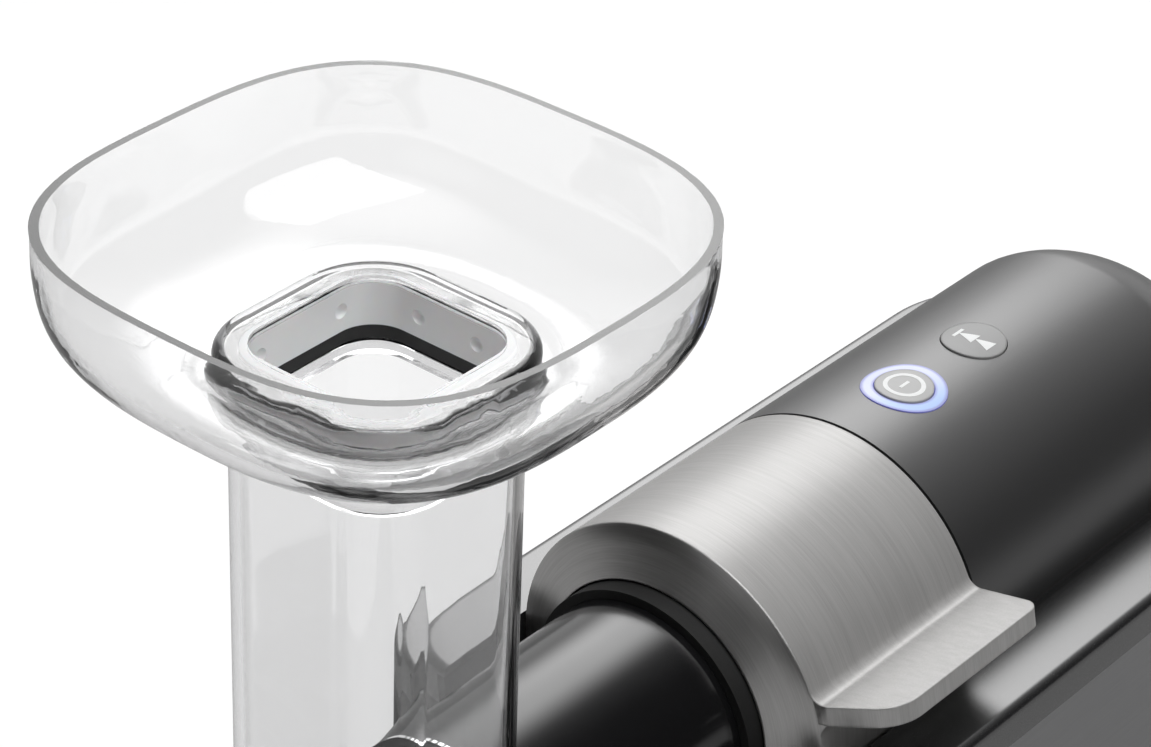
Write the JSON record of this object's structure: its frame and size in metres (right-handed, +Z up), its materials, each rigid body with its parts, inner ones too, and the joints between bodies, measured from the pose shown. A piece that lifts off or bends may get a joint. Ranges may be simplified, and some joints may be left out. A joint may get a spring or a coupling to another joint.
{
  "type": "cold press juicer",
  "caption": "Horizontal cold press juicer: clear tray on a square chute, dark drum, brushed locking ring with lever, barrel housing with push buttons.",
  "frame": {"origin": "middle of the whole object's plan, on the table under the feet", "axes": "+X along the machine axis from the pulp end to the motor end, +Y to the side away from the lever tab, +Z up"},
  "size_m": [0.524, 0.1644, 0.369],
  "materials": {
    "clear_plastic": "polished clear copolyester",
    "liner_grey": "smooth translucent grey plastic",
    "seal_rubber": "soft matt silicone",
    "gloss_black": "high gloss moulded plastic",
    "matt_black": "matt moulded plastic",
    "satin_black": "satin moulded plastic",
    "brushed_ring": "brushed along the ring",
    "brushed_panel": "fine brushed dark grey skin",
    "button_grey": "satin light grey",
    "reverse_grey": "satin light grey",
    "light_diffuser": "lit translucent white",
    "auger_plastic": "glass-filled plastic",
    "stainless": "perforated sheet",
    "cast_alloy": "as cast",
    "zinc_steel": "turned or zinc plated",
    "gear_plastic": "natural acetal",
    "bronze": "sintered bronze",
    "laminations": "stacked laminations",
    "copper_wire": "enamelled copper",
    "board_green": "circuit board",
    "can_grey": "plain can",
    "foot_rubber": "moulded rubber"
  },
  "bodies": {
    "base": {"drum_seat": "matt_black", "seat_screws": "zinc_steel", "gearbox_cover": "cast_alloy", "bulkhead": "zinc_steel", "gear_case": "cast_alloy", "output_bearing_front": "zinc_steel", "output_bearing_rear": "zinc_steel", "lay_bush_front": "bronze", "lay_bush_rear": "bronze", "stator_core": "laminations", "winding_front": "copper_wire", "winding_rear": "copper_wire", "motor_front_flange": "cast_alloy", "motor_end_bracket": "cast_alloy", "motor_bearing_front": "zinc_steel", "motor_bearing_rear": "zinc_steel", "motor_bolts": "zinc_steel", "motor_saddle": "matt_black", "upper_housing": "satin_black", "side_panel_left": "brushed_panel", "side_panel_right": "brushed_panel", "chassis": "matt_black", "base_plate": "matt_black", "foot_front_left": "foot_rubber", "foot_front_right": "foot_rubber", "foot_rear_left": "foot_rubber", "foot_rear_right": "foot_rubber", "base_screws": "zinc_steel", "light_ring": "light_diffuser", "control_board": "board_green", "button_switches": "matt_black", "leds": "light_diffuser", "capacitor": "can_grey", "power_board": "board_green", "cord_inlet": "foot_rubber"},
    "ring": {"locking_ring": "brushed_ring"},
    "drum": {"juicing_drum": "gloss_black", "drum_collar": "matt_black", "feed_tube": "clear_plastic", "strainer": "stainless", "auger_seal": "seal_rubber"},
    "tray": {"hopper_tray": "clear_plastic", "throat_liner": "liner_grey", "throat_seal": "seal_rubber"},
    "screw": {"auger": "auger_plastic"},
    "pulp_end": {"pulp_end_plate": "gloss_black"},
    "nut": {"front_nut": "matt_black"},
    "output": {"output_shaft": "zinc_steel", "output_gear": "gear_plastic"},
    "lay": {"layshaft": "zinc_steel", "lay_pinion": "zinc_steel", "lay_gear": "gear_plastic"},
    "rotor": {"motor_shaft": "zinc_steel", "motor_pinion": "zinc_steel", "rotor_core": "laminations", "cooling_fan": "matt_black"},
    "power": {"power_button": "button_grey"},
    "reverse": {"reverse_button": "reverse_grey"}
  },
  "joints": [
    {"name": "ring_turn", "type": "hinge", "parent": "base", "child": "ring", "pos_m": [0.02, 0, 0.15], "axis": [1, 0, 0], "range_deg": [-40, 0]},
    {"name": "drum_draw", "type": "slide", "parent": "base", "child": "drum", "axis": [-1, 0, 0], "range_m": [0, 0.06]},
    {"name": "tray_lift", "type": "slide", "parent": "drum", "child": "tray", "axis": [0, 0, 1], "range_m": [0, 0.04]},
    {"name": "pulp_end_draw", "type": "slide", "parent": "drum", "child": "pulp_end", "axis": [-1, 0, 0], "range_m": [0, 0.05]},
    {"name": "nut_turn", "type": "hinge", "parent": "pulp_end", "child": "nut", "pos_m": [-0.216, 0, 0.15], "axis": [1, 0, 0], "range_deg": [0, 60]},
    {"name": "auger_spin", "type": "hinge", "parent": "drum", "child": "screw", "pos_m": [-0.11, 0, 0.15], "axis": [1, 0, 0], "continuous": true},
    {"name": "output_spin", "type": "hinge", "parent": "base", "child": "output", "pos_m": [0.06, 0, 0.15], "axis": [1, 0, 0], "continuous": true},
    {"name": "lay_spin", "type": "hinge", "parent": "base", "child": "lay", "pos_m": [0.08, 0, 0.115], "axis": [1, 0, 0], "continuous": true},
    {"name": "motor_spin", "type": "hinge", "parent": "base", "child": "rotor", "pos_m": [0.15, 0, 0.15], "axis": [1, 0, 0], "continuous": true},
    {"name": "power_press", "type": "slide", "parent": "base", "child": "power", "axis": [0, 0, -1], "range_m": [0, 0.0015], "stiffness_N_per_m": 600, "springref_m": -0.0015},
    {"name": "reverse_press", "type": "slide", "parent": "base", "child": "reverse", "axis": [0, 0, -1], "range_m": [0, 0.0015], "stiffness_N_per_m": 600, "springref_m": -0.0015}
  ],
  "couplings": [
    {"joint": "lay_spin", "follows": "motor_spin", "ratio": -0.25},
    {"joint": "output_spin", "follows": "motor_spin", "ratio": 0.0625},
    {"joint": "auger_spin", "follows": "motor_spin", "ratio": 0.0625}
  ]
}
